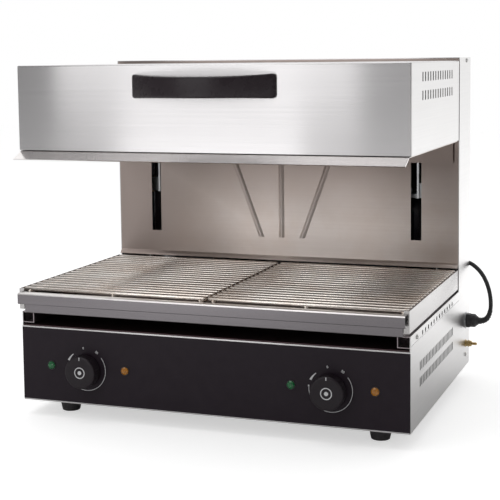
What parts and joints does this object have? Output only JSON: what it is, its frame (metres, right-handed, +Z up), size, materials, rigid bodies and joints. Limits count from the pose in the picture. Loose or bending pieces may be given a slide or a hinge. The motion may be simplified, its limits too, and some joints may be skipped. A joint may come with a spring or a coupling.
{
  "type": "cheese melter",
  "caption": "Countertop lift grill: a heated head on a rear column slides down over wire racks and a drip tray; dials, lamps and a mains lead with plug.",
  "frame": {"origin": "centre of the flat field pressed into the base pan, level with the lower edges of the side skins; the feet reach 24 mm lower", "axes": "+X to the right as the user sees it, +Y to the back, +Z up"},
  "size_m": [0.6458, 0.6208, 0.536],
  "materials": {
    "skin_steel": "brushed, satin",
    "column_steel": "brushed, slightly heat-tinted",
    "chassis_steel": "plain sheet",
    "frame_steel": "brushed, bright",
    "rack_wire": "plated wire",
    "reflector_steel": "bright, smooth",
    "insulation": "ceramic fibre",
    "element_sheath": "oxidised dark sheath",
    "strap_steel": "plain sheet",
    "cover_black": "satin black",
    "handle_black": "fine matt",
    "knob_black": "satin moulded",
    "spindle_steel": "turned",
    "fastener_steel": "bright",
    "foot_rubber": "matt",
    "rod_chrome": "ground and plated",
    "bushing_bronze": "sintered bronze",
    "lift_steel": "zinc plated",
    "pulley_nylon": "natural",
    "weight_iron": "painted cast iron",
    "rope_steel": "stranded",
    "thermostat_case": "heat-proof moulding",
    "lens_green": "clear green",
    "lens_amber": "clear amber",
    "lamp_body": "moulded",
    "gland_black": "moulded nylon",
    "stud_brass": "machined",
    "terminal_ceramic": "moulded",
    "lead_black": "smooth sheath",
    "plug_black": "moulded",
    "pin_brass": "nickelled brass",
    "tie_black": "nylon"
  },
  "bodies": {
    "housing": {"side_panel_left": "skin_steel", "side_panel_right": "skin_steel", "rear_panel": "skin_steel", "column_top": "skin_steel", "front_panel": "skin_steel", "column_front": "column_steel", "base_pan": "chassis_steel", "heat_shield": "chassis_steel", "support_rail_left": "chassis_steel", "support_rail_right": "chassis_steel", "rack_frame": "frame_steel", "control_cover": "cover_black", "foot_screws": "fastener_steel", "housing_screws": "fastener_steel", "pulley_axles": "fastener_steel", "feet": "foot_rubber", "guide_rods": "rod_chrome", "lift_bridge": "lift_steel", "rod_shoes": "lift_steel", "rope_wraps": "rope_steel", "thermostats": "thermostat_case", "power_lamps": "lens_green", "heating_lamps": "lens_amber", "lamp_bodies": "lamp_body", "cable_gland": "gland_black", "earth_stud": "stud_brass", "terminal_block": "terminal_ceramic", "mains_lead": "lead_black", "lead_coil": "lead_black", "mains_plug": "plug_black", "plug_pins": "pin_brass", "coil_tie": "tie_black", "lead_clip": "tie_black"},
    "head": {"head_shell": "skin_steel", "head_rear_panel": "column_steel", "reflector": "reflector_steel", "insulation_blanket": "insulation", "heating_element_left": "element_sheath", "heating_element_right": "element_sheath", "element_straps": "strap_steel", "handle": "handle_black", "handle_screws": "fastener_steel", "lift_carriage_left": "lift_steel", "lift_carriage_right": "lift_steel", "carriage_bushings": "bushing_bronze", "arm_bolts": "fastener_steel", "carriage_ropes": "rope_steel"},
    "counterweights": {"counterweight_left": "weight_iron", "counterweight_right": "weight_iron", "weight_ropes": "rope_steel"},
    "pulley_left": {"cable_pulley_left": "pulley_nylon"},
    "pulley_right": {"cable_pulley_right": "pulley_nylon"},
    "tray": {"drip_tray": "frame_steel"},
    "rack_left": {"wire_rack_left": "rack_wire"},
    "rack_right": {"wire_rack_right": "rack_wire"},
    "dial_left": {"knob_left": "knob_black", "dial_spindle_left": "spindle_steel"},
    "dial_right": {"knob_right": "knob_black", "dial_spindle_right": "spindle_steel"}
  },
  "joints": [
    {"name": "head_lift", "type": "slide", "parent": "housing", "child": "head", "axis": [0, 0, -1], "range_m": [0, 0.15], "deforming": ["carriage_ropes"]},
    {"name": "counterweight_slide", "type": "slide", "parent": "housing", "child": "counterweights", "axis": [0, 0, 1], "range_m": [0, 0.15], "deforming": ["weight_ropes"]},
    {"name": "pulley_left_spin", "type": "hinge", "parent": "housing", "child": "pulley_left", "pos_m": [-0.188, 0.159, 0.458], "axis": [0, -1, 0], "range_deg": [0, 340]},
    {"name": "pulley_right_spin", "type": "hinge", "parent": "housing", "child": "pulley_right", "pos_m": [0.188, 0.159, 0.458], "axis": [0, 1, 0], "range_deg": [0, 340]},
    {"name": "tray_slide", "type": "slide", "parent": "housing", "child": "tray", "axis": [0, -1, 0], "range_m": [0, 0.3]},
    {"name": "rack_left_lift", "type": "slide", "parent": "housing", "child": "rack_left", "axis": [0, 0, 1], "range_m": [0, 0.04]},
    {"name": "rack_right_lift", "type": "slide", "parent": "housing", "child": "rack_right", "axis": [0, 0, 1], "range_m": [0, 0.04]},
    {"name": "dial_left_turn", "type": "hinge", "parent": "housing", "child": "dial_left", "pos_m": [-0.193, -0.22, 0.0535], "axis": [0, 1, 0], "range_deg": [0, 270]},
    {"name": "dial_right_turn", "type": "hinge", "parent": "housing", "child": "dial_right", "pos_m": [0.187, -0.22, 0.0535], "axis": [0, 1, 0], "range_deg": [0, 270]}
  ],
  "couplings": [
    {"joint": "counterweight_slide", "follows": "head_lift", "ratio": 1},
    {"joint": "pulley_left_spin", "follows": "head_lift", "rad_per_m": 39.216},
    {"joint": "pulley_right_spin", "follows": "head_lift", "rad_per_m": 39.216}
  ]
}
